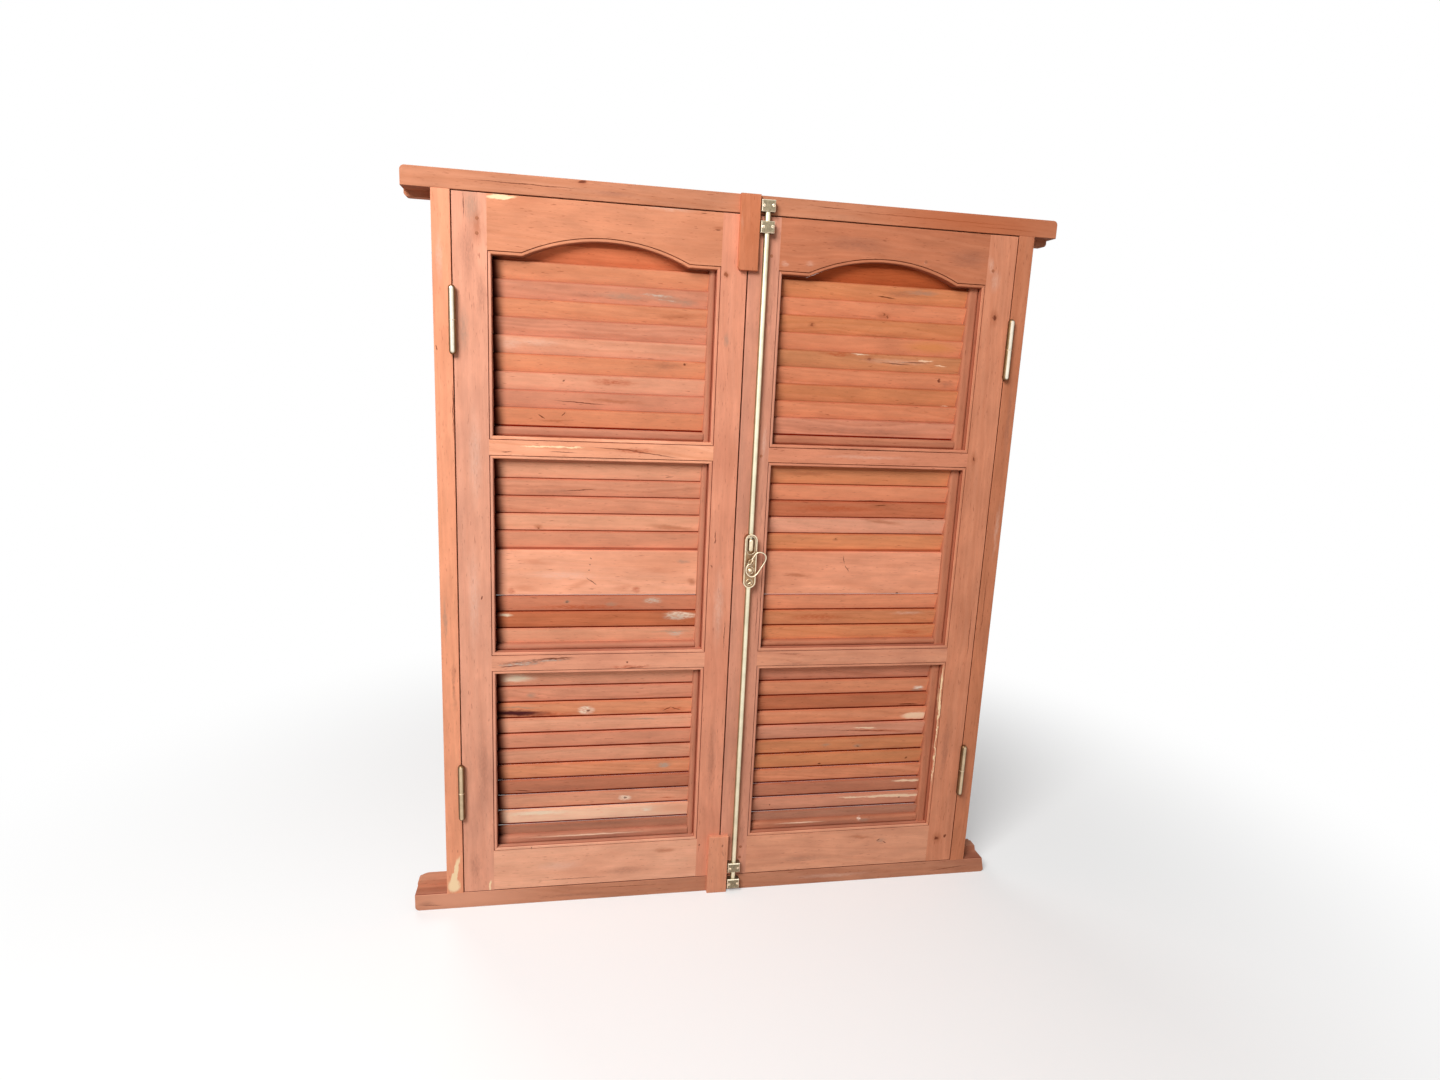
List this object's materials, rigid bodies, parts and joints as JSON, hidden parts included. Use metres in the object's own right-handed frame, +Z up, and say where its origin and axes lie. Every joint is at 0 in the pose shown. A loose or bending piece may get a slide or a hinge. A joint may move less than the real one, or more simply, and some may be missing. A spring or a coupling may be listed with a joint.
{
  "type": "louvred casement window",
  "caption": "Hardwood window in its frame, with side-hung louvred leaves under arched top rails, brass barrel hinges and a surface bolt with rods.",
  "frame": {"origin": "on the sill's underside, midway between the jambs and at the frame's mid depth", "axes": "+Z up, +X to the right as seen from the room side, +Y towards the outside; the bolt and the hinge barrels are on the -Y side"},
  "size_m": [1.2111, 0.088, 1.38],
  "materials": {
    "frame_wood": "sanded, unvarnished reddish hardwood",
    "leaf_wood": "sanded, unvarnished reddish hardwood",
    "slat_wood": "sanded, unvarnished reddish hardwood, more orange",
    "hinge_brass": "satin",
    "rod_brass": "satin",
    "case_brass": "aged"
  },
  "bodies": {
    "root": {"bolt_case": "case_brass", "bolt_handle": "rod_brass", "bottom_meeting_block": "leaf_wood", "head": "frame_wood", "left_bottom_rail": "leaf_wood", "left_hinge_stile": "leaf_wood", "left_jamb": "frame_wood", "left_louvre_strips": "leaf_wood", "left_lower_hinge_jamb_half": "hinge_brass", "left_lower_hinge_leaf_half": "hinge_brass", "left_lower_mid_rail": "leaf_wood", "left_lower_slats": "slat_wood", "left_meeting_stile": "leaf_wood", "left_middle_board": "slat_wood", "left_middle_slats": "slat_wood", "left_top_rail": "leaf_wood", "left_upper_hinge_jamb_half": "hinge_brass", "left_upper_hinge_leaf_half": "hinge_brass", "left_upper_mid_rail": "leaf_wood", "left_upper_slats": "slat_wood", "lower_rod": "rod_brass", "right_bottom_rail": "leaf_wood", "right_hinge_stile": "leaf_wood", "right_jamb": "frame_wood", "right_louvre_strips": "leaf_wood", "right_lower_hinge_jamb_half": "hinge_brass", "right_lower_hinge_leaf_half": "hinge_brass", "right_lower_mid_rail": "leaf_wood", "right_lower_slats": "slat_wood", "right_meeting_stile": "leaf_wood", "right_middle_board": "slat_wood", "right_middle_slats": "slat_wood", "right_top_rail": "leaf_wood", "right_upper_hinge_jamb_half": "hinge_brass", "right_upper_hinge_leaf_half": "hinge_brass", "right_upper_mid_rail": "leaf_wood", "right_upper_slats": "slat_wood", "rod_guides": "case_brass", "rod_keepers": "case_brass", "sill": "frame_wood", "top_meeting_block": "leaf_wood", "upper_rod": "rod_brass"}
  },
  "joints": []
}
